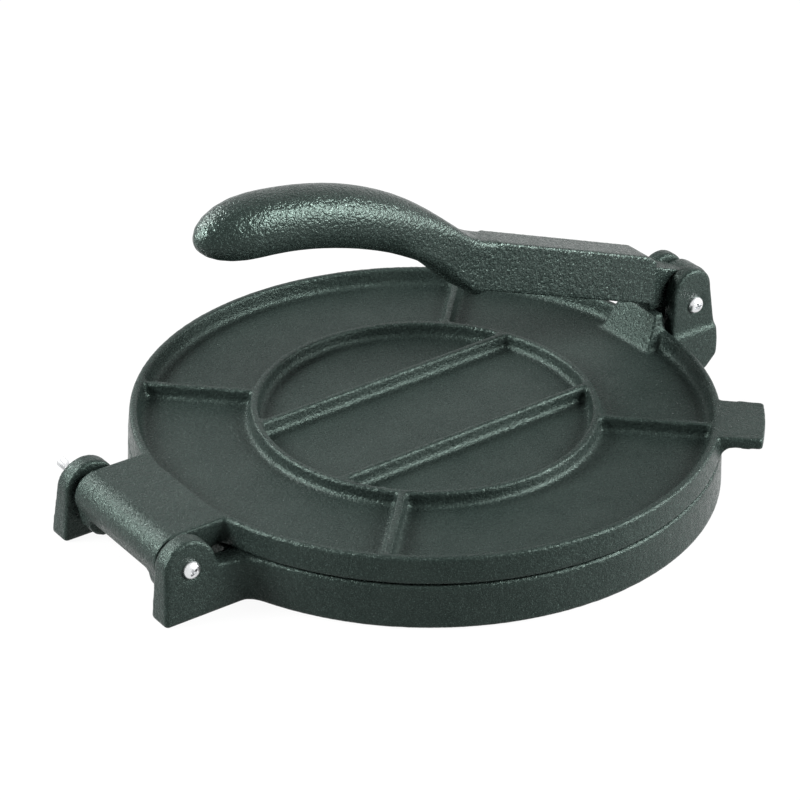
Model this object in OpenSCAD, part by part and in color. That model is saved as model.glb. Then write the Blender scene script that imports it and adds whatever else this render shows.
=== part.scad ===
// Cast iron tortilla press: two round plates, a lever with a cam eye, two bolts with wing nuts.
// The origin is the middle of the lower plate on the table, +X points to the lever pivot, +Z is up.

/* [Plates] */
// Diameter over the rim of the upper plate
plate_d = 254; // [230:1:280]
// Height of the lower plate, from the table to its pressing face
base_h = 20; // [16:0.5:26]
// Height of the upper plate, from its pressing face to the top of its rim
upper_h = 11.7; // [10:0.1:16]
// Gap between the two pressing faces when the press is shut
face_gap = 0.4; // [0.3:0.1:2]
// How far the upper wall widens from its rim down to the parting line
upper_draft = 1; // [0.2:0.1:2]
// How far the lower wall widens from the parting line down to the table
base_draft = 0.8; // [0.2:0.1:2]
// Thickness of the upper plate between its ribs
floor_t = 4; // [3:0.5:6]
// Thickness of the lower plate under its pressing face
deck_t = 5.5; // [4:0.5:8]
// Thickness of the skirt of the lower plate
skirt_t = 6; // [4:0.5:9]
// Thickness of the ribs under the lower plate
brace_t = 5; // [3:0.5:8]
// Radius of the hub where the lower ribs cross
hub_r = 14; // [8:1:25]

/* [Raised pattern of the upper plate] */
// Width of the flat land on the rim
rim_w = 3.3; // [2:0.1:6]
// Width of the steep inner wall of the rim
rim_slope = 1.6; // [1:0.1:5]
// Radius of the inner ring, at the middle of its top
ring_r = 73.7; // [60:0.5:85]
// Width of the top of the ring, the spokes and the two straight ribs
rib_w = 3.2; // [2:0.1:5]
// How much wider a rib is at its foot, on each side
rib_draft = 0.8; // [0.5:0.1:3]
// How far the ribs stay below the rim
rib_drop = 1.4; // [0.4:0.1:3]
// Distance from the middle line to each straight rib
rib_y = 28.6; // [20:0.2:36]
// Turn of the raised pattern against the hinge line, as the casting shows it
pattern_turn = 1.5; // [-4:0.5:4]

/* [Lift tab] */
// Direction of the tab, seen from above
tab_angle = -44; // [-60:1:-35]
// Width of the tab
tab_w = 33; // [24:1:42]
// Radius at which the tab ends
tab_reach = 145.7; // [141.5:0.1:152]
// Thickness of the tab
tab_t = 5; // [3:0.5:7]
// Radius of the fillet under the tab
tab_fillet = 5.5; // [3:0.5:6]

/* [Hinge] */
// Distance from the parting line to the hinge bolt
hinge_out = 18.3; // [17.6:0.1:24]
// Radius of the rolled front edge of the tongue, round the hinge bolt
roll_r = 10.1; // [9:0.1:11]
// Half the length of the tongue
tongue_half = 31.5; // [25:0.5:38]
// Thickness of the walls of the tongue
tongue_t = 4.8; // [3.5:0.1:5.5]
// Thickness of each end cheek of the tongue
cheek_t = 8.5; // [6:0.5:12]
// Depth of the end cheeks below the hinge bolt
cheek_drop = 17.2; // [13:0.2:17.2]
// Gap between each cheek and its ear
ear_gap = 2.3; // [0.5:0.1:4]
// Radius of the top of the hinge ears
ear_r = 12.2; // [10:0.2:14]
// Thickness of the hinge ears at the table
ear_foot_t = 11.7; // [10:0.1:15]
// Thickness of the hinge ears at their top
ear_top_t = 7.7; // [6.5:0.1:9.5]
// How far the front edge of a hinge ear leans out at the table
ear_lean = 2; // [0:0.5:5]
// Radius of the web between an ear and the skirt
web_r = 10; // [5:0.5:14]

/* [Lever] */
// Distance from the parting line to the lever bolt
lever_out = 13.5; // [13:0.1:18]
// Height of the lever bolt above the parting line
lever_rise = 21; // [19:0.5:25]
// Radius of the eye at the foot of the lever
eye_r = 12.4; // [9:0.1:12.6]
// How far the cam side of the eye stands out past that radius
cam_rise = 3.4; // [1:0.2:4]
// Gap between the nose of the eye and the pad that it presses on
nose_gap = 0.5; // [0.3:0.1:2]
// Thickness of the cam eye
eye_t = 11; // [8:0.5:13]
// Width of the bar of the lever
bar_w = 16; // [12:0.5:20]
// Depth of the bar of the lever
bar_depth = 22.2; // [18:0.2:25]
// Angle of the bar above the plates
bar_angle = 20.3; // [16:0.1:26]
// How far the middle line of the bar passes above the lever bolt
bar_offset = 7.6; // [6:0.1:9]
// Distance from the lever bolt to the shoulder of the bar
shoulder = 19.5; // [18:0.1:22]
// Length of the bar, from the lever bolt to the bend
bar_len = 122.5; // [90:0.5:140]
// Steepest angle of the bend
bend_angle = 40.5; // [32:0.5:48]
// Radius of the bend
bend_r = 60; // [40:1:80]
// Radius of the long curve of the grip
grip_curve = 162; // [130:1:220]
// Angle by which the grip droops at its end
grip_droop = 7; // [0:1:12]
// How much thinner the lever gets in its bend, above and below
bend_waist = 1.6; // [0:0.1:2.5]
// How far the belly under the bend hangs below the bar
belly_drop = 2.7; // [1:0.1:3.5]
// Height of the chamfer between the side of the bend and its belly
belly_chamfer = 3.6; // [1:0.1:4]
// Thickness of the grip at its thickest
grip_d = 26.4; // [22:0.2:30]
// Width of the grip at its widest
grip_w = 26; // [20:0.5:32]

/* [Lever ears] */
// Gap between each lever ear and the eye
eye_gap = 0.6; // [0.3:0.1:1.5]
// Thickness of the lever ears
post_t = 7; // [5:0.5:10]
// Radius of the top of the lever ears
post_r = 11; // [9:0.2:11.5]
// Height of the lever ears above the lever bolt
post_top = 17.8; // [16:0.2:20]
// How far the outer edge of an ear leans out at its foot
post_lean = 5; // [1:0.5:8]
// Height of the clear space under the foot of the lever ears
lug_clear = 6; // [2:0.5:9]
// How far the lug stands out from the sides of the ears
ledge_w = 1.4; // [0.5:0.1:3]
// Height of the ledge above the parting line
ledge_rise = 7; // [4:0.5:9]

/* [Pad] */
// Width of the raised pad under the lever
pad_w = 24.5; // [18:0.5:30]
// Length of the flat top of the pad
pad_land = 4; // [2:0.5:8]
// Length of the slope on the inner side of the pad
pad_slope = 8; // [4:0.5:12]

/* [Bolts and wing nuts] */
// Diameter of both bolts
bolt_d = 4; // [3:0.1:5]
// Radial clearance of each bolt in its bores
bolt_fit = 0.09; // [0.03:0.01:0.1]
// Diameter of the bolt heads
head_d = 8; // [7:0.1:9]
// Height of the bolt heads
head_h = 3; // [2:0.1:4]
// Length of a bolt past the face that its nut sits on
bolt_end = 18; // [13:0.5:24]
// Diameter of the hub of a wing nut
nut_d = 8; // [7:0.1:9]
// Height of the hub of a wing nut
nut_h = 6; // [4:0.5:8]
// Span over both wings
wing_span = 20; // [16:0.5:24]
// Thickness of a wing
wing_t = 2; // [1.4:0.1:2.6]
// Height of the wings' lower edge above the seat of the nut
wing_lift = 2.6; // [2.4:0.1:3.4]
// Height of the wing tips above the seat of the nut
wing_top = 10.5; // [9:0.1:13]
// Turn of the wings of the hinge nut round its bolt
hinge_wing_turn = 60; // [0:1:180]
// Turn of the wings of the lever nut round its bolt
lever_wing_turn = 10; // [0:1:180]

/* [Hidden] */

$fn = 96;
iron = "#2b2f30";
steel = "#c8cacb";

// Heights and radii of the two plates
rim_r = plate_d / 2;
part_r = rim_r + upper_draft;
foot_r = part_r + base_draft;
upper_z = base_h + face_gap;
floor_z = upper_z + floor_t;
rim_z = upper_z + upper_h;
rib_z = rim_z - rib_drop;
edge = 0.6;
sink = 0.5;
far = 400;

// The hinge
hinge_x = -(part_r + hinge_out);
hinge_z = rim_z - roll_r;
ear_in = tongue_half + ear_gap;
ear_top = hinge_z + ear_r;
ear_seat = ear_in + ear_foot_t - (ear_foot_t - ear_top_t) * hinge_z / ear_top - 0.8;
ear_front = hinge_x - ear_r - ear_lean;

// The lever end
lever_x = part_r + lever_out;
lever_z = base_h + lever_rise;
nose_z = -0.6;
post_in = eye_t / 2 + eye_gap;
post_out = post_in + post_t;
post_seat = post_out - 0.8;
post_clear = 0.6;
post_x = lever_x - part_r - post_clear;
pad_z = lever_z + nose_z - nose_gap;
pad_x = rim_r - 1.5;

// Seats of the bolt heads and nuts
seat_r = head_d / 2 + 1.2;
bolt_r = bolt_d / 2;
bore_r = bolt_r + bolt_fit;

// Turns an XZ outline into a solid of the given width across Y
module across(width) {
  translate([0, width / 2, 0]) rotate([90, 0, 0]) linear_extrude(width) children();
}

// A round hole or pin along Y
module along_y(r, y0, y1) {
  translate([0, y1, 0]) rotate([90, 0, 0]) cylinder(r = r, h = y1 - y0);
}

// A straight rib with sloped sides along X, from x0 to x1
module rib(x0, x1) {
  translate([x0, 0, 0]) rotate([90, 0, 90]) linear_extrude(x1 - x0)
    polygon([[-rib_w / 2 - rib_draft, floor_z - sink], [rib_w / 2 + rib_draft, floor_z - sink],
             [rib_w / 2, rib_z], [-rib_w / 2, rib_z]]);
}

module inner_ring() {
  rotate_extrude()
    polygon([[ring_r - rib_w / 2 - rib_draft, floor_z - sink],
             [ring_r + rib_w / 2 + rib_draft, floor_z - sink],
             [ring_r + rib_w / 2, rib_z], [ring_r - rib_w / 2, rib_z]]);
}

// The round upper plate with its rim
module upper_disc() {
  rotate_extrude()
    polygon([[0, upper_z], [part_r - edge, upper_z], [part_r, upper_z + edge],
             [rim_r, rim_z - edge], [rim_r - edge, rim_z], [rim_r - rim_w, rim_z],
             [rim_r - rim_w - rim_slope * 0.7, floor_z + 2],
             [rim_r - rim_w - rim_slope, floor_z + 0.6],
             [rim_r - rim_w - rim_slope - 1.4, floor_z], [0, floor_z]]);
}

module raised_pattern() {
  inner_ring();
  for (turn = [45 : 90 : 315])
    rotate([0, 0, turn]) rib(ring_r, rim_r - rim_w - sink);
  intersection() {
    cylinder(r = ring_r, h = far);
    for (side = [-1, 1]) translate([0, side * rib_y, 0]) rib(-ring_r, ring_r);
  }
}

// The raised pad that the cam eye presses on
module pad() {
  intersection() {
    across(far) polygon([[pad_x, pad_z], [pad_x - pad_land, pad_z],
                         [pad_x - pad_land - pad_slope, floor_z - sink],
                         [rim_r, floor_z - sink], [rim_r, rim_z - edge]]);
    rotate([90, 0, 90]) linear_extrude(far)
      polygon([[-pad_w / 2 - 4, floor_z - sink], [pad_w / 2 + 4, floor_z - sink],
               [pad_w / 2, pad_z], [-pad_w / 2, pad_z]]);
    cylinder(r = rim_r - edge - 0.4, h = far);
  }
}

// The lift tab with the fillet under it, round the middle of the plate like the rim
module lift_tab() {
  root = rim_r - rim_w;
  under_z = rim_z - tab_t;
  fillet_x = part_r + tab_fillet + 0.4;
  intersection() {
    rotate_extrude() difference() {
      polygon([[root, under_z - tab_fillet], [fillet_x, under_z - tab_fillet],
               [fillet_x, under_z], [tab_reach, under_z], [tab_reach, rim_z], [root, rim_z]]);
      translate([fillet_x, under_z - tab_fillet]) circle(r = tab_fillet);
    }
    rotate([0, 0, tab_angle]) translate([rim_r / 2, -tab_w / 2, 0]) cube([rim_r, tab_w, far]);
  }
}

// Side outline of the tongue with its end lobes, with the hinge bolt at the origin
module tongue_outline() {
  lobe_r = roll_r - 2;
  reach = hinge_out + 6;
  foot_z = upper_z - hinge_z + 0.8;
  circle(r = roll_r);
  translate([0, lobe_r - cheek_drop]) circle(r = lobe_r);
  polygon([[-lobe_r, lobe_r - cheek_drop], [lobe_r, lobe_r - cheek_drop], [hinge_out, foot_z],
           [reach, foot_z], [reach, roll_r], [0, roll_r], [-roll_r, 0]]);
}

// What is cut away between the cheeks: all but the flat top and the rolled front wall
module tongue_hollow() {
  hollow_r = roll_r - tongue_t;
  front_drop = roll_r * 0.7;
  circle(r = hollow_r);
  translate([0, -far]) square([far, far + hollow_r]);
  translate([-far, -front_drop - far]) square([2 * far, far]);
}

// The tongue: a shell that rolls over the bolt, closed by a solid cheek at each end
module tongue() {
  translate([hinge_x, 0, hinge_z]) difference() {
    across(2 * tongue_half) tongue_outline();
    across(2 * (tongue_half - cheek_t)) tongue_hollow();
  }
}

module upper_plate() {
  color(iron) difference() {
    union() {
      upper_disc();
      rotate([0, 0, pattern_turn]) {
        raised_pattern();
        pad();
        lift_tab();
      }
      tongue();
    }
    translate([hinge_x, 0, hinge_z]) along_y(bore_r, -far, far);
  }
}

// The lower plate: pressing face, skirt, crossing ribs and hub
module base_disc() {
  rotate_extrude()
    polygon([[0, base_h - deck_t], [foot_r - skirt_t - 2, base_h - deck_t],
             [foot_r - skirt_t, base_h - deck_t - 2], [foot_r - skirt_t + 1, 0], [foot_r, 0],
             [part_r, base_h - edge], [part_r - edge, base_h], [0, base_h]]);
  cylinder(r = hub_r, h = base_h - sink);
  intersection() {
    cylinder(r = foot_r - skirt_t / 2, h = base_h - sink);
    for (turn = [0, 90]) rotate([0, 0, turn])
      translate([-far, -brace_t / 2, 0]) cube([2 * far, brace_t, base_h - sink]);
  }
}

// Fills the corner between a flat side at y = side_y and the skirt, as a concave web.
// The side runs along X on the far side of the skirt, and the web is height h tall.
module corner_web(side_y, z0, h) {
  centre_y = side_y + web_r;
  centre_x = sqrt(pow(foot_r + web_r, 2) - pow(centre_y, 2));
  touch = foot_r / (foot_r + web_r);
  translate([0, 0, z0]) linear_extrude(h) difference() {
    polygon([[centre_x, side_y - 1], [centre_x, side_y], [centre_x * touch, centre_y * touch],
             [centre_x * touch - 3, centre_y * touch - 3], [centre_x * touch - 3, side_y - 1]]);
    translate([centre_x, centre_y]) circle(r = web_r);
  }
}

// One hinge ear on the +Y side, with the table at z = 0
module hinge_ear() {
  inner_x = -sqrt(pow(foot_r - skirt_t + 1.5, 2) - pow(ear_in, 2));
  intersection() {
    translate([0, ear_in + ear_foot_t / 2, 0]) across(ear_foot_t) union() {
      translate([hinge_x, hinge_z]) circle(r = ear_r);
      polygon([[ear_front, 0], [inner_x, 0], [inner_x, base_h], [hinge_x, base_h],
               [hinge_x - ear_r, hinge_z - 1]]);
    }
    translate([-far, 0, 0]) rotate([90, 0, 90]) linear_extrude(2 * far)
      polygon([[ear_in - 1, 0], [ear_in + ear_foot_t, 0], [ear_in + ear_top_t, ear_top],
               [ear_in - 1, ear_top]]);
  }
  mirror([1, 0, 0]) corner_web(ear_in + ear_foot_t - 1.2, 0, base_h - edge);
}

// One lever ear on the +Y side, without the lug
module lever_ear() {
  translate([0, (post_in + post_out) / 2, 0]) across(post_t) union() {
    translate([lever_x - post_x + post_r, lever_z + post_top - post_r]) circle(r = post_r);
    polygon([[lever_x - post_x, base_h], [lever_x - post_x, lever_z + post_top - post_r],
             [lever_x - post_x + 2 * post_r, lever_z + post_top - post_r],
             [lever_x - post_x + 2 * post_r + post_lean, base_h]]);
  }
}

// The lug between the skirt and the lever ears
module lever_lug() {
  lug_half = post_out + ledge_w;
  lug_x = lever_x - post_x + 2 * post_r + post_lean;
  inner_x = foot_r - skirt_t;
  low_z = lug_clear;
  corner = 7;
  difference() {
    across(2 * lug_half)
      polygon([[inner_x, low_z], [lug_x - corner, low_z], [lug_x, low_z + corner],
               [lug_x, base_h], [lug_x - 1, base_h + ledge_rise],
               [lever_x - post_x, base_h + ledge_rise], [lever_x - post_x, base_h - edge],
               [inner_x, base_h - edge]]);
    translate([lever_x - post_x - 1, -post_in, base_h - edge])
      cube([far, 2 * post_in, far]);
  }
  for (side = [0, 1]) mirror([0, side, 0]) corner_web(lug_half, low_z, base_h - edge - low_z);
}

module base_plate() {
  color(iron) difference() {
    union() {
      base_disc();
      for (side = [0, 1]) mirror([0, side, 0]) {
        hinge_ear();
        lever_ear();
      }
      lever_lug();
    }
    translate([hinge_x, 0, hinge_z]) {
      along_y(bore_r, -far, far);
      along_y(seat_r, ear_seat, far);
      along_y(seat_r, -far, -ear_seat);
    }
    translate([lever_x, 0, lever_z]) {
      along_y(bore_r, -far, far);
      along_y(seat_r, post_seat, far);
      along_y(seat_r, -far, -post_seat);
    }
  }
}

// Middle line of the lever: a straight bar, a short bend up, and the long curve of the grip
function heading(a) = [-cos(a), sin(a)];
function normal(a) = [sin(a), cos(a)];
bend_len = bend_r * (bend_angle - bar_angle) * PI / 180;
grip_len = grip_curve * (bend_angle + grip_droop) * PI / 180;
function angle_at(s) = s < 0 ? bar_angle
  : s < bend_len ? bar_angle + s / bend_r * 180 / PI
  : bend_angle - (s - bend_len) / grip_curve * 180 / PI;
bend_start = [lever_x, lever_z] + normal(bar_angle) * bar_offset + heading(bar_angle) * bar_len;
bend_centre = bend_start + normal(bar_angle) * bend_r;
grip_start = bend_centre - normal(bend_angle) * bend_r;
grip_centre = grip_start - normal(bend_angle) * grip_curve;
function middle_at(s) = s < 0 ? bend_start + heading(bar_angle) * s
  : s < bend_len ? bend_centre - normal(angle_at(s)) * bend_r
  : grip_centre + normal(angle_at(s)) * grip_curve;

// Half sizes of the section, from the square bar to the round grip
tip_len = 28;
full_len = bend_len + grip_len;
function smooth(t) = let (u = max(0, min(1, t))) u * u * (3 - 2 * u);
function tip_share(s) = s < full_len - tip_len ? 1
  : sqrt(max(0.0001, 1 - pow((s - full_len + tip_len) / tip_len, 2)));
function waist_share(s) = smooth(s / bend_len) * (1 - smooth((s - bend_len) / 45));
function half_depth(s) = tip_share(s)
  * (bar_depth / 2 - 0.1 + (grip_d - bar_depth) / 2 * smooth((s - bend_len) / (grip_len * 0.56))
     - bend_waist * waist_share(s));
function half_width(s) = tip_share(s)
  * (bar_w / 2 - 0.1 + (grip_w - bar_w) / 2 * smooth((s - 8) / (grip_len * 0.6)));
function squareness(s) = 8 - 5.8 * smooth((s + 5) / (grip_len * 0.45));

// The underside of the bend: a deep belly with a chamfer along each side
function belly_share(s) = smooth((s + 1.5) / 2.6) * (1 - smooth((s - 38) / 22));
function belly_depth(s) = belly_drop * (1.6 - 0.6 * smooth(s / 7) - 0.9 * smooth((s - 18) / 22));
function side_depth(s) = half_depth(s) - belly_chamfer * smooth((s - 5) / 20);
function crease_depth(s) = half_depth(s) + belly_depth(s) * 0.5 - 1 + 1.6 * (1 - smooth((s - 4) / 8));
belly_across = [1, 1, 1, 0.92, 0.82, 0.6, 0.36, 0.12];
side_steps = [0.3, 0.7, 1];
crease_steps = [0.5, 1];
floor_steps = [0.55, 0.85, 1];
function belly_low(s, k) = let (side = side_depth(s), crease = crease_depth(s),
                                low = half_depth(s) + belly_depth(s))
  k < 3 ? side * side_steps[k]
  : k < 5 ? side + (crease - side) * crease_steps[k - 3]
  : crease + (low - crease) * floor_steps[k - 5];

section_sides = 32;
half_count = section_sides / 2;
function superellipse(t, n) = [sign(cos(t)) * pow(abs(cos(t)), 2 / n),
                               sign(sin(t)) * pow(abs(sin(t)), 2 / n)];
function plain_section(s, i) = let (e = superellipse((i + 0.5) * 360 / section_sides, squareness(s)))
  [e[0] * half_width(s), e[1] * half_depth(s)];
function belly_section(s, i) = let (j = i - half_count, k = min(j, half_count - 1 - j))
  [(k == j ? -1 : 1) * belly_across[k] * half_width(s), -belly_low(s, k)];
function section_point(s, i) = i < half_count || belly_share(s) == 0 ? plain_section(s, i)
  : plain_section(s, i) * (1 - belly_share(s)) + belly_section(s, i) * belly_share(s);
function lever_point(s, i) = let (e = section_point(s, i),
                                  m = middle_at(s) + normal(angle_at(s)) * e[1])
  [m[0], e[0], m[1]];

stations = concat([-12, -5, -1.6], [for (i = [0.3 : 1 : 3.3]) i * bend_len / 4],
                  [for (i = [0.1 : 1 : 16.1]) bend_len + (grip_len - tip_len) * i / 16.1],
                  [for (a = [15 : 15 : 75]) full_len - tip_len + tip_len * sin(a)],
                  [full_len - tip_len + tip_len * sin(86)]);
last = len(stations) - 1;

// The bend and the grip, one closed skin through all sections
module grip_body() {
  polyhedron(
    points = [for (s = stations, i = [0 : section_sides - 1]) lever_point(s, i)],
    faces = concat(
      [[for (i = [section_sides - 1 : -1 : 0]) i]],
      [for (k = [0 : last - 1], i = [0 : section_sides - 1])
        let (a = k * section_sides, j = (i + 1) % section_sides) [a + i, a + j, a + section_sides + j]],
      [for (k = [0 : last - 1], i = [0 : section_sides - 1])
        let (a = k * section_sides, j = (i + 1) % section_sides)
        [a + i, a + section_sides + j, a + section_sides + i]],
      [[for (i = [0 : section_sides - 1]) last * section_sides + i]]));
}

// Side outline of the bar, with the lever bolt at the origin
module bar_outline() {
  top = bar_offset + bar_depth / 2;
  low = bar_offset - bar_depth / 2;
  slope = tan(bar_angle);
  rise = 1 / cos(bar_angle);
  end = heading(bar_angle) * bar_len;
  up = normal(bar_angle);
  polygon([[-shoulder, shoulder * slope + low * rise + 1],
           [-shoulder, shoulder * slope + top * rise - 2],
           [-shoulder - 5, (shoulder + 5) * slope + top * rise],
           end + up * top, end + up * low,
           [-shoulder - 3, (shoulder + 3) * slope + low * rise]]);
}

// Side outline of the neck, its nose and the cam eye, with the lever bolt at the origin
module eye_outline() {
  slope = tan(bar_angle);
  rise = 1 / cos(bar_angle);
  neck_top = shoulder * slope + (bar_offset + bar_depth / 2) * rise - 4;
  circle(r = eye_r);
  rotate(50) translate([cam_rise, 0]) circle(r = eye_r);
  polygon([[-shoulder - 4, 8], [-shoulder - 1, nose_z], [1 - eye_r, nose_z], [0, 0],
           [2, eye_r], [-4, eye_r + cam_rise], [-shoulder - 4, neck_top]]);
}

module lever() {
  color(iron) difference() {
    union() {
      translate([lever_x, 0, lever_z]) {
        across(bar_w) bar_outline();
        across(eye_t) eye_outline();
      }
      grip_body();
    }
    translate([lever_x, 0, lever_z]) along_y(bore_r, -far, far);
  }
}

// A pan head bolt along Y, with its head on the -Y side, seated at y = -seat
module bolt(seat) {
  cross_w = head_d * 0.15;
  cross_l = head_d * 0.56;
  along_y(bolt_r, -seat - sink, seat + bolt_end);
  difference() {
    translate([0, -seat, 0]) rotate([90, 0, 0]) rotate_extrude()
      polygon([[0, 0], [head_d / 2, 0], [head_d / 2, head_h * 0.45], [head_d * 0.44, head_h * 0.75],
               [head_d * 0.32, head_h * 0.93], [head_d * 0.16, head_h], [0, head_h]]);
    for (turn = [20, 110]) rotate([0, turn, 0])
      translate([-cross_l / 2, -seat - head_h - 1, -cross_w / 2])
        cube([cross_l, 1 + head_h * 0.6, cross_w]);
  }
}

module hinge_bolt() {
  color(steel) translate([hinge_x, 0, hinge_z]) bolt(ear_seat);
}

module lever_bolt() {
  color(steel) translate([lever_x, 0, lever_z]) bolt(post_seat);
}

// A wing nut on a bolt along Y, seated at y = seat, with its wings turned round the bolt
module wing_nut(seat, turn) {
  wing_r = wing_span * 0.21;
  tip_x = wing_span / 2 - wing_r;
  tip_y = wing_top - wing_r;
  translate([0, seat, 0]) rotate([0, turn, 0]) difference() {
    union() {
      translate([0, nut_h, 0]) rotate([90, 0, 0])
        cylinder(r1 = nut_d * 0.42, r2 = nut_d / 2, h = nut_h);
      for (side = [0, 1]) mirror([side, 0, 0]) translate([0, 0, -wing_t / 2])
        linear_extrude(wing_t) union() {
          translate([tip_x, tip_y]) circle(r = wing_r);
          polygon([[bolt_d, wing_lift], [tip_x, wing_lift], [tip_x + wing_r, tip_y],
                   [tip_x - wing_r * 0.8, tip_y + wing_r * 0.6], [bolt_d, nut_h * 0.9]]);
        }
    }
    along_y(bore_r, -1, far);
  }
}

module hinge_wing_nut() {
  color(steel) translate([hinge_x, 0, hinge_z]) wing_nut(ear_seat, hinge_wing_turn);
}

module lever_wing_nut() {
  color(steel) translate([lever_x, 0, lever_z]) wing_nut(post_seat, lever_wing_turn);
}

base_plate();
upper_plate();
lever();
hinge_bolt();
hinge_wing_nut();
lever_bolt();
lever_wing_nut();
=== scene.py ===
"""Looks, light and camera for a cast iron tortilla press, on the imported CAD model."""

import math

import bmesh
import bpy
import numpy as np
import openvdb
from mathutils import Matrix, Vector


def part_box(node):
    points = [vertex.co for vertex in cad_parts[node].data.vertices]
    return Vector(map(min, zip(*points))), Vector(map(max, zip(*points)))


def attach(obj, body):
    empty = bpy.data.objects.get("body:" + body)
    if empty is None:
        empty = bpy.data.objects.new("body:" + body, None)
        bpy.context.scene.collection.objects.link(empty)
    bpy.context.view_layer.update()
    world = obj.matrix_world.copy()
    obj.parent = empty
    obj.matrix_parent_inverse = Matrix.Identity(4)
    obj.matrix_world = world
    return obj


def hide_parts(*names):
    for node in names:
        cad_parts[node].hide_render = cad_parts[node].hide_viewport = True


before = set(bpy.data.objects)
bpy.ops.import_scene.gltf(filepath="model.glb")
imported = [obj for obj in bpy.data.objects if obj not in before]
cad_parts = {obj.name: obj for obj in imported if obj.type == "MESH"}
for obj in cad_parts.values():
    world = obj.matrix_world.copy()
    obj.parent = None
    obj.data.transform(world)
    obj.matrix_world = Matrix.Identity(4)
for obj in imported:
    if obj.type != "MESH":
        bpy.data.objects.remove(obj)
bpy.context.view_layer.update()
MM = 0.001


# Camera: seen from above the hinge end, found by fitting the round plates of the photograph

CAMERA_AZIMUTH = -36.17
CAMERA_ELEVATION = 29.57
CAMERA_ROLL = 0.52
CAMERA_DISTANCE = 1.2714
CAMERA_SIDE = -0.0106
CAMERA_RISE = 0.0277
FOCAL_PIXELS = 2917.6
IMAGE_PIXELS = 800
SENSOR_MM = 36


def make_camera():
    a, e, r = (math.radians(v) for v in (CAMERA_AZIMUTH, CAMERA_ELEVATION, CAMERA_ROLL))
    back = Vector((math.sin(a) * math.cos(e), -math.cos(a) * math.cos(e), math.sin(e)))
    level = Vector((math.cos(a), math.sin(a), 0))
    above = back.cross(level)
    right = level * math.cos(r) + above * math.sin(r)
    up = above * math.cos(r) - level * math.sin(r)
    place = back * CAMERA_DISTANCE + right * CAMERA_SIDE + up * CAMERA_RISE
    data = bpy.data.cameras.new("camera")
    data.sensor_width = SENSOR_MM
    data.lens = FOCAL_PIXELS / IMAGE_PIXELS * SENSOR_MM
    camera = bpy.data.objects.new("camera", data)
    camera.matrix_world = Matrix.Translation(place) @ Matrix((right, up, back)).transposed().to_4x4()
    bpy.context.scene.collection.objects.link(camera)
    bpy.context.scene.camera = camera


# Materials

MIX_A, MIX_B, MIX_RESULT = 6, 7, 2    # the colour sockets of a Mix node

IRON_DARK = (0.0050, 0.0078, 0.0070)
IRON_PALE = (0.0080, 0.0115, 0.0103)
IRON_TINT = (0.72, 1.0, 0.88, 1)
MOTTLE = {"Scale": 45.0, "Detail": 5.0, "Roughness": 0.6}
MOTTLE_RANGE = (0.35, 0.7)
EDGE_HIGHLIGHT_RANGE = (0.53, 0.62)              # how convex an edge is where the painted highlight starts, and where it is full
EDGE_HIGHLIGHT_GAIN = 1.8
# painted glints: pale specks in the base colour, for the sparkle of the grain
GLINT_SCALE = 1.3                     # against the scale of the sand grain
GLINT_RANGE = (0.56, 0.72)
GLINT_GAIN = 4.0
PEEL_SCALE = 700.0
PEEL_RANGE = (0.3, 0.7)
PEEL_GLOSS = 0.1                      # how far the orange peel moves the roughness either way

ZINC_TONE = (0.82, 0.83, 0.84)
ZINC_DULL = 0.75                      # tone of the dull patches against the bright ones
ZINC_ROUGHNESS = 0.26
ZINC_GLOSS = (-0.08, 0.1)
ZINC_PATCH = {"Scale": 380.0, "Detail": 3.0}
ZINC_SCRATCH = {"Scale": 2600.0, "Detail": 2.0}
ZINC_BUMP = {"Strength": 0.6, "Distance": 0.03 * MM}


def new_material(name):
    material = bpy.data.materials.new(name)
    material.use_nodes = True
    nodes = material.node_tree.nodes
    return material, nodes, material.node_tree.links, nodes["Principled BSDF"]


def add(nodes, kind, **inputs):
    node = nodes.new(kind)
    for name, value in inputs.items():
        node.inputs[name].default_value = value
    return node


def noise(nodes, links, place, **inputs):
    node = add(nodes, "ShaderNodeTexNoise", **inputs)
    links.new(place, node.inputs["Vector"])
    return node.outputs["Fac"]


def map_range(nodes, links, source, given=(0.0, 1.0), wanted=(0.0, 1.0)):
    """The source carried from one pair of limits to another."""
    limits = {"From Min": given[0], "From Max": given[1], "To Min": wanted[0], "To Max": wanted[1]}
    node = add(nodes, "ShaderNodeMapRange", **limits)
    links.new(source, node.inputs["Value"])
    return node.outputs["Result"]


def colour_ramp(nodes, links, source, dark, pale, ends=(0.0, 1.0)):
    node = nodes.new("ShaderNodeValToRGB")
    for element, end, colour in zip(node.color_ramp.elements, ends, (dark, pale)):
        element.position = end
        element.color = (*colour, 1)
    links.new(source, node.inputs["Fac"])
    return node.outputs["Color"]


def mix_colour(nodes, links, share, first, second):
    """A linked first colour mixed with a fixed second one, by the share."""
    node = nodes.new("ShaderNodeMix")
    node.data_type = "RGBA"
    node.inputs[MIX_B].default_value = (*second, 1)
    links.new(share, node.inputs[0])
    links.new(first, node.inputs[MIX_A])
    return node.outputs[MIX_RESULT]


def bump(nodes, links, height, normal=None, **inputs):
    node = add(nodes, "ShaderNodeBump", **inputs)
    links.new(height, node.inputs["Height"])
    if normal:
        links.new(normal, node.inputs["Normal"])
    return node.outputs["Normal"]


def scaled(colour, gain):
    return tuple(v * gain for v in colour)


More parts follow.
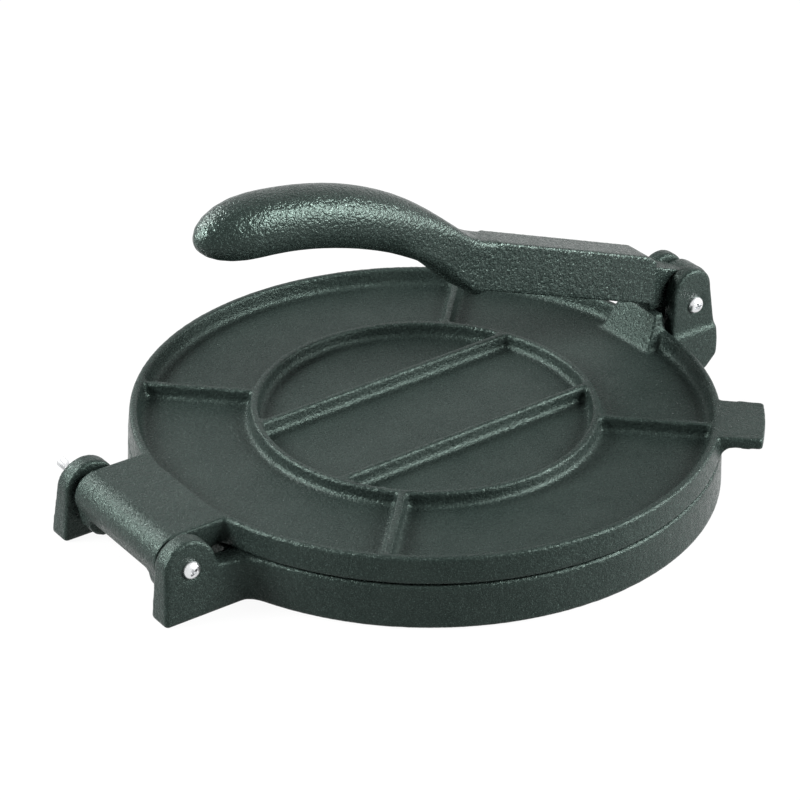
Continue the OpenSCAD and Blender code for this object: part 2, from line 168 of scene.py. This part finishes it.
def coated_iron(name, shine, roughness, sand_scale, sand_depth, peel_depth):
    """Satin black coating on cast iron: sand grain, orange peel, faint mottling, pale specks as painted glints, and
    paler convex edges as a painted highlight.
    """
    material, nodes, links, shader = new_material(name)
    place = nodes.new("ShaderNodeTexCoord").outputs["Object"]
    convex = nodes.new("ShaderNodeNewGeometry").outputs["Pointiness"]

    mottle = noise(nodes, links, place, **MOTTLE)
    colour = colour_ramp(nodes, links, mottle, IRON_DARK, IRON_PALE, MOTTLE_RANGE)
    # painted highlight: convex edges made paler in the base colour, for the light that rounded edges catch
    painted_edge_highlight = map_range(nodes, links, convex, EDGE_HIGHLIGHT_RANGE)
    colour = mix_colour(nodes, links, painted_edge_highlight, colour, scaled(IRON_PALE, EDGE_HIGHLIGHT_GAIN))
    # painted glints: pale specks mixed into the base colour, for the sparkle of the grain
    glint_noise = noise(nodes, links, place, Scale=sand_scale * GLINT_SCALE, Detail=1.0)
    painted_glints = map_range(nodes, links, glint_noise, GLINT_RANGE)
    colour = mix_colour(nodes, links, painted_glints, colour, scaled(IRON_PALE, GLINT_GAIN))
    links.new(colour, shader.inputs["Base Color"])

    sand = noise(nodes, links, place, Scale=sand_scale, Detail=0.0)
    peel = noise(nodes, links, place, Scale=PEEL_SCALE, Detail=0.0)
    gloss = map_range(nodes, links, peel, PEEL_RANGE, (roughness - PEEL_GLOSS, roughness + PEEL_GLOSS))
    links.new(gloss, shader.inputs["Roughness"])
    shader.inputs["Specular IOR Level"].default_value = shine
    shader.inputs["Specular Tint"].default_value = IRON_TINT

    normal = bump(nodes, links, peel, Strength=1.0, Distance=peel_depth)
    normal = bump(nodes, links, sand, normal, Strength=1.0, Distance=sand_depth)
    links.new(normal, shader.inputs["Normal"])
    return material


def zinc(name):
    """Bright zinc plate with faint scratches and a few dull patches."""
    material, nodes, links, shader = new_material(name)
    place = nodes.new("ShaderNodeTexCoord").outputs["Object"]
    shader.inputs["Metallic"].default_value = 1.0
    patch = noise(nodes, links, place, **ZINC_PATCH)
    colour = colour_ramp(nodes, links, patch, scaled(ZINC_TONE, ZINC_DULL), ZINC_TONE)
    links.new(colour, shader.inputs["Base Color"])
    gloss = map_range(nodes, links, patch, wanted=[ZINC_ROUGHNESS + change for change in ZINC_GLOSS])
    links.new(gloss, shader.inputs["Roughness"])
    scratch = noise(nodes, links, place, **ZINC_SCRATCH)
    links.new(bump(nodes, links, scratch, **ZINC_BUMP), shader.inputs["Normal"])
    return material


# Castings: the CAD solid with the soft edges and the fillets that a sand mould leaves

def level_set(points, triangles, quads, voxel, reach):
    return openvdb.FloatGrid.createLevelSetFromPolygons(
        points.astype(np.float32), triangles=triangles.astype(np.uint32), quads=quads.astype(np.uint32),
        transform=openvdb.createLinearTransform(voxelSize=voxel), halfWidth=reach / voxel + 3)


def offset(skin, distance, voxel):
    """The skin moved outwards by a distance, or inwards by a negative one."""
    grid = level_set(*skin, voxel, abs(distance))
    return grid.convertToPolygons(isovalue=distance)


def node_skin(node):
    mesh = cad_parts[node].data
    mesh.calc_loop_triangles()
    points = np.empty(len(mesh.vertices) * 3, np.float32)
    mesh.vertices.foreach_get("co", points)
    triangles = np.empty(len(mesh.loop_triangles) * 3, np.int32)
    mesh.loop_triangles.foreach_get("vertices", triangles)
    return points.reshape(-1, 3), triangles.reshape(-1, 3), np.empty((0, 4), np.int32)


def new_piece(name, mesh, material, body, node):
    piece = bpy.data.objects.new(name, mesh)
    bpy.context.scene.collection.objects.link(piece)
    mesh.materials.clear()
    mesh.materials.append(material)
    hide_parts(node)
    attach(piece, body)
    return piece


def mesh_from(name, skin):
    points, triangles, quads = skin
    mesh = bpy.data.meshes.new(name)
    faces = [tuple(reversed(face)) for face in triangles.tolist() + quads.tolist()]
    mesh.from_pydata(points.tolist(), [], faces)
    mesh.update()
    return mesh


def relaxed(mesh, steps):
    """The mesh with its grid steps smoothed away."""
    carrier = bpy.data.objects.new(mesh.name, mesh)
    bpy.context.scene.collection.objects.link(carrier)
    smooth = carrier.modifiers.new("smooth", "SMOOTH")
    smooth.factor = 0.5
    smooth.iterations = steps
    bpy.context.view_layer.update()
    shown = carrier.evaluated_get(bpy.context.evaluated_depsgraph_get())
    result = bpy.data.meshes.new_from_object(shown)
    bpy.data.objects.remove(carrier)
    result.shade_smooth()
    return result


def casting(name, node, material, body, voxel, fillet, edge, steps):
    """Fills the inner corners to the fillet radius, rounds the outer ones, and smooths the skin."""
    skin = node_skin(node)
    for distance in (fillet, -fillet - edge, edge):
        skin = offset(skin, distance, voxel)
    return new_piece(name, relaxed(mesh_from(name, skin), steps), material, body, node)


# Fasteners

HEAD_HEIGHT = 3.0 * MM
HEAD_SHAPE = 2.5                      # exponent of the dome: 2 is an ellipse, more is squarer
HEAD_ROWS = 16
CROSS_TOP = (-1.0 * MM, 2.5 * MM, 0.62 * MM)      # distance below the head's top, reach and half width of an arm
CROSS_BOTTOM = (2.3 * MM, 0.9 * MM, 0.42 * MM)
SHANK_RADIUS = 1.9 * MM
THREAD_RADIUS = 1.98 * MM
THREAD_DEPTH = 0.38 * MM
THREAD_PITCH = 0.7 * MM
THREAD_LENGTH = 22 * MM
THREAD_CHAMFER = 0.6 * MM
THREAD_ROWS = 10                      # rows of points in each pitch
THREAD_RUNOUT = 0.05 * MM
TIP_CHAMFER = 0.8 * MM
SCREW_SIDES = 48
SHARP_ANGLE = 38


def head_rows(radius):
    """The domed top of a pan head: distance below the top and radius."""
    rows = []
    for i in range(1, HEAD_ROWS + 1):
        angle = math.radians(90 - 90 * i / HEAD_ROWS)
        height = HEAD_HEIGHT * math.sin(angle) ** (2 / HEAD_SHAPE) if i < HEAD_ROWS else 0.0
        rows.append((HEAD_HEIGHT - height, radius * math.cos(angle) ** (2 / HEAD_SHAPE)))
    return rows


def lathe(rows, sides, place, thread):
    """A closed mesh turned about the Y axis; thread gives the first and last distance of a screw thread."""
    points, faces = [], []
    for y, radius in rows:
        for k in range(sides):
            turn = 2 * math.pi * k / sides
            r = radius
            if thread[0] <= y <= thread[1]:
                phase = y / THREAD_PITCH - k / sides
                r = radius - THREAD_DEPTH * (0.5 - 0.5 * math.cos(2 * math.pi * phase))
            points.append((place[0] + r * math.cos(turn), place[1] + y, place[2] + r * math.sin(turn)))
    for row in range(len(rows) - 1):
        for k in range(sides):
            a, b = row * sides + k, row * sides + (k + 1) % sides
            faces.append((a, b, b + sides, a + sides))
    for row, flip in ((0, False), (len(rows) - 1, True)):
        centre = len(points)
        points.append((place[0], place[1] + rows[row][0], place[2]))
        for k in range(sides):
            a, b = row * sides + k, row * sides + (k + 1) % sides
            faces.append((centre, a, b) if flip else (centre, b, a))
    mesh = bpy.data.meshes.new("lathe")
    mesh.from_pydata(points, [], faces)
    mesh.update()
    return mesh


def cross_tool(place, turn):
    """The tapered cross that a driver bit fills."""
    build = bmesh.new()
    rings = []
    for depth, reach, half in (CROSS_TOP, CROSS_BOTTOM):
        ring = []
        for arm in range(4):
            for along, across in ((half, -half), (reach, -half), (reach, half)):
                angle = math.radians(turn + 90 * arm)
                x = along * math.cos(angle) - across * math.sin(angle)
                z = along * math.sin(angle) + across * math.cos(angle)
                ring.append(build.verts.new((place[0] + x, place[1] + depth, place[2] + z)))
        rings.append(ring)
    count = len(rings[0])
    for k in range(count):
        build.faces.new((rings[0][k], rings[0][(k + 1) % count], rings[1][(k + 1) % count], rings[1][k]))
    for ring in rings:
        build.faces.new(ring)
    bmesh.ops.triangulate(build, faces=build.faces[-2:])
    bmesh.ops.recalc_face_normals(build, faces=build.faces)
    mesh = bpy.data.meshes.new("cross")
    build.to_mesh(mesh)
    build.free()
    return mesh


def cut(mesh, tool):
    """The first mesh minus the second."""
    carriers = [bpy.data.objects.new("carrier", data) for data in (mesh, tool)]
    for carrier in carriers:
        bpy.context.scene.collection.objects.link(carrier)
    boolean = carriers[0].modifiers.new("cut", "BOOLEAN")
    boolean.operation = "DIFFERENCE"
    boolean.solver = "EXACT"
    boolean.object = carriers[1]
    bpy.context.view_layer.update()
    shown = carriers[0].evaluated_get(bpy.context.evaluated_depsgraph_get())
    result = bpy.data.meshes.new_from_object(shown)
    for carrier in carriers:
        bpy.data.objects.remove(carrier)
    return result


def screw(name, node, material, turn):
    """A pan head screw with a cross recess and a thread towards its end."""
    low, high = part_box(node)
    place = ((low[0] + high[0]) / 2, low[1], (low[2] + high[2]) / 2)
    head = (high[0] - low[0]) / 2
    length = high[1] - low[1]
    start = length - THREAD_LENGTH
    end = length - THREAD_CHAMFER
    rows = head_rows(head) + [(HEAD_HEIGHT, SHANK_RADIUS), (start, SHANK_RADIUS), (start, THREAD_RADIUS)]
    count = round((end - start) / THREAD_PITCH * THREAD_ROWS)
    rows += [(start + (end - start) * i / count, THREAD_RADIUS) for i in range(1, count + 1)]
    rows += [(end + THREAD_RUNOUT, THREAD_RADIUS - THREAD_DEPTH), (length, THREAD_RADIUS - TIP_CHAMFER)]
    mesh = cut(lathe(rows, SCREW_SIDES, place, (start, end)), cross_tool(place, turn))
    mesh.shade_smooth()
    mesh.set_sharp_from_angle(angle=math.radians(SHARP_ANGLE))
    return new_piece(name, mesh, material, "base", node)


# Light and floor

LAMPS = (    # name, place, aim, side, power
    ("side", (0.60, -0.40, 0.24), (0.05, 0, 0.04), 0.25, 6),
    ("low", (0.52, -0.86, 0.30), (-0.08, 0, 0.08), 0.35, 8),
    ("front", (0.62, -0.74, 0.72), (-0.08, 0, 0.08), 0.4, 29),
    ("back", (-0.36, 0.84, 0.78), (0, 0, 0.03), 0.4, 18),
    ("left", (-0.80, 0.32, 0.50), (-0.1, 0, 0.06), 0.35, 28),
)
WORLD_FILL = 0.03                     # strength of the white world on the object
WORLD_SEEN = 1.0                      # and for the camera
FLOOR_HALF = 4.0
FLOOR_DROP = 0.0002
FLOOR_TONE = 0.5
FLOOR_ROUGHNESS = 0.9
FLOOR_GLOW = 0.94                     # share of plain white in the floor for the camera


def seen_ray(nodes, links):
    """One for a ray of the camera, straight or by reflection or refraction, and zero for other rays."""
    path = nodes.new("ShaderNodeLightPath")
    seen = path.outputs["Is Camera Ray"]
    for kind in ("Is Glossy Ray", "Is Transmission Ray"):
        larger = nodes.new("ShaderNodeMath")
        larger.operation = "MAXIMUM"
        links.new(seen, larger.inputs[0])
        links.new(path.outputs[kind], larger.inputs[1])
        seen = larger.outputs[0]
    return seen


def softbox(name, place, aim, side, power):
    data = bpy.data.lights.new(name, "AREA")
    data.shape = "RECTANGLE"
    data.size = data.size_y = side
    data.energy = power
    lamp = bpy.data.objects.new(name, data)
    lamp.location = place
    direction = Vector(aim) - Vector(place)
    lamp.rotation_euler = direction.to_track_quat("-Z", "Y").to_euler()
    bpy.context.scene.collection.objects.link(lamp)


def make_world():
    world = bpy.data.worlds.new("world")
    bpy.context.scene.world = world
    world.use_nodes = True
    nodes, links = world.node_tree.nodes, world.node_tree.links
    strength = map_range(nodes, links, seen_ray(nodes, links), wanted=(WORLD_FILL, WORLD_SEEN))
    links.new(strength, nodes["Background"].inputs["Strength"])
    nodes["Background"].inputs["Color"].default_value = (1, 1, 1, 1)


def make_floor():
    """A white floor that glows for the camera, so that only the object's shadow shows on it."""
    mesh = bpy.data.meshes.new("floor")
    corners = [(-FLOOR_HALF, -FLOOR_HALF, 0), (FLOOR_HALF, -FLOOR_HALF, 0)]
    corners += [(FLOOR_HALF, FLOOR_HALF, 0), (-FLOOR_HALF, FLOOR_HALF, 0)]
    mesh.from_pydata(corners, [], [(0, 1, 2, 3)])
    floor = bpy.data.objects.new("floor", mesh)
    floor.location.z = -FLOOR_DROP
    bpy.context.scene.collection.objects.link(floor)
    material, nodes, links, shader = new_material("floor")
    shader.inputs["Base Color"].default_value = (FLOOR_TONE, FLOOR_TONE, FLOOR_TONE, 1)
    shader.inputs["Roughness"].default_value = FLOOR_ROUGHNESS
    glow = nodes.new("ShaderNodeEmission")
    mix = nodes.new("ShaderNodeMixShader")
    share = map_range(nodes, links, seen_ray(nodes, links), wanted=(0.0, FLOOR_GLOW))
    links.new(share, mix.inputs["Fac"])
    links.new(shader.outputs["BSDF"], mix.inputs[1])
    links.new(glow.outputs["Emission"], mix.inputs[2])
    links.new(mix.outputs["Shader"], nodes["Material Output"].inputs["Surface"])
    mesh.materials.append(material)


make_camera()
bpy.context.scene.view_settings.view_transform = "Standard"
for lamp in LAMPS:
    softbox(*lamp)
make_world()
make_floor()

iron = coated_iron("coated_iron", shine=0.155, roughness=0.30,
                   sand_scale=2300.0, sand_depth=0.20 * MM, peel_depth=0.22 * MM)
lever_iron = coated_iron("coated_lever_iron", shine=0.25, roughness=0.26,
                         sand_scale=1500.0, sand_depth=0.26 * MM, peel_depth=0.34 * MM)
bright = zinc("zinc_plate")

casting("base_casting", "base_plate", iron, "base",
        voxel=0.8 * MM, fillet=1.6 * MM, edge=0.5 * MM, steps=2)
casting("upper_casting", "upper_plate", iron, "plate",
        voxel=0.65 * MM, fillet=1.3 * MM, edge=0.25 * MM, steps=1)
casting("lever_casting", "lever", lever_iron, "handle",
        voxel=0.65 * MM, fillet=1.2 * MM, edge=0.35 * MM, steps=1)
for name, node in (("hinge_wing", "hinge_wing_nut"), ("lever_wing", "lever_wing_nut")):
    casting(name, node, bright, "base",
            voxel=0.16 * MM, fillet=0.8 * MM, edge=0.3 * MM, steps=2)
screw("hinge_screw", "hinge_bolt", bright, turn=40)
screw("lever_screw", "lever_bolt", bright, turn=20)
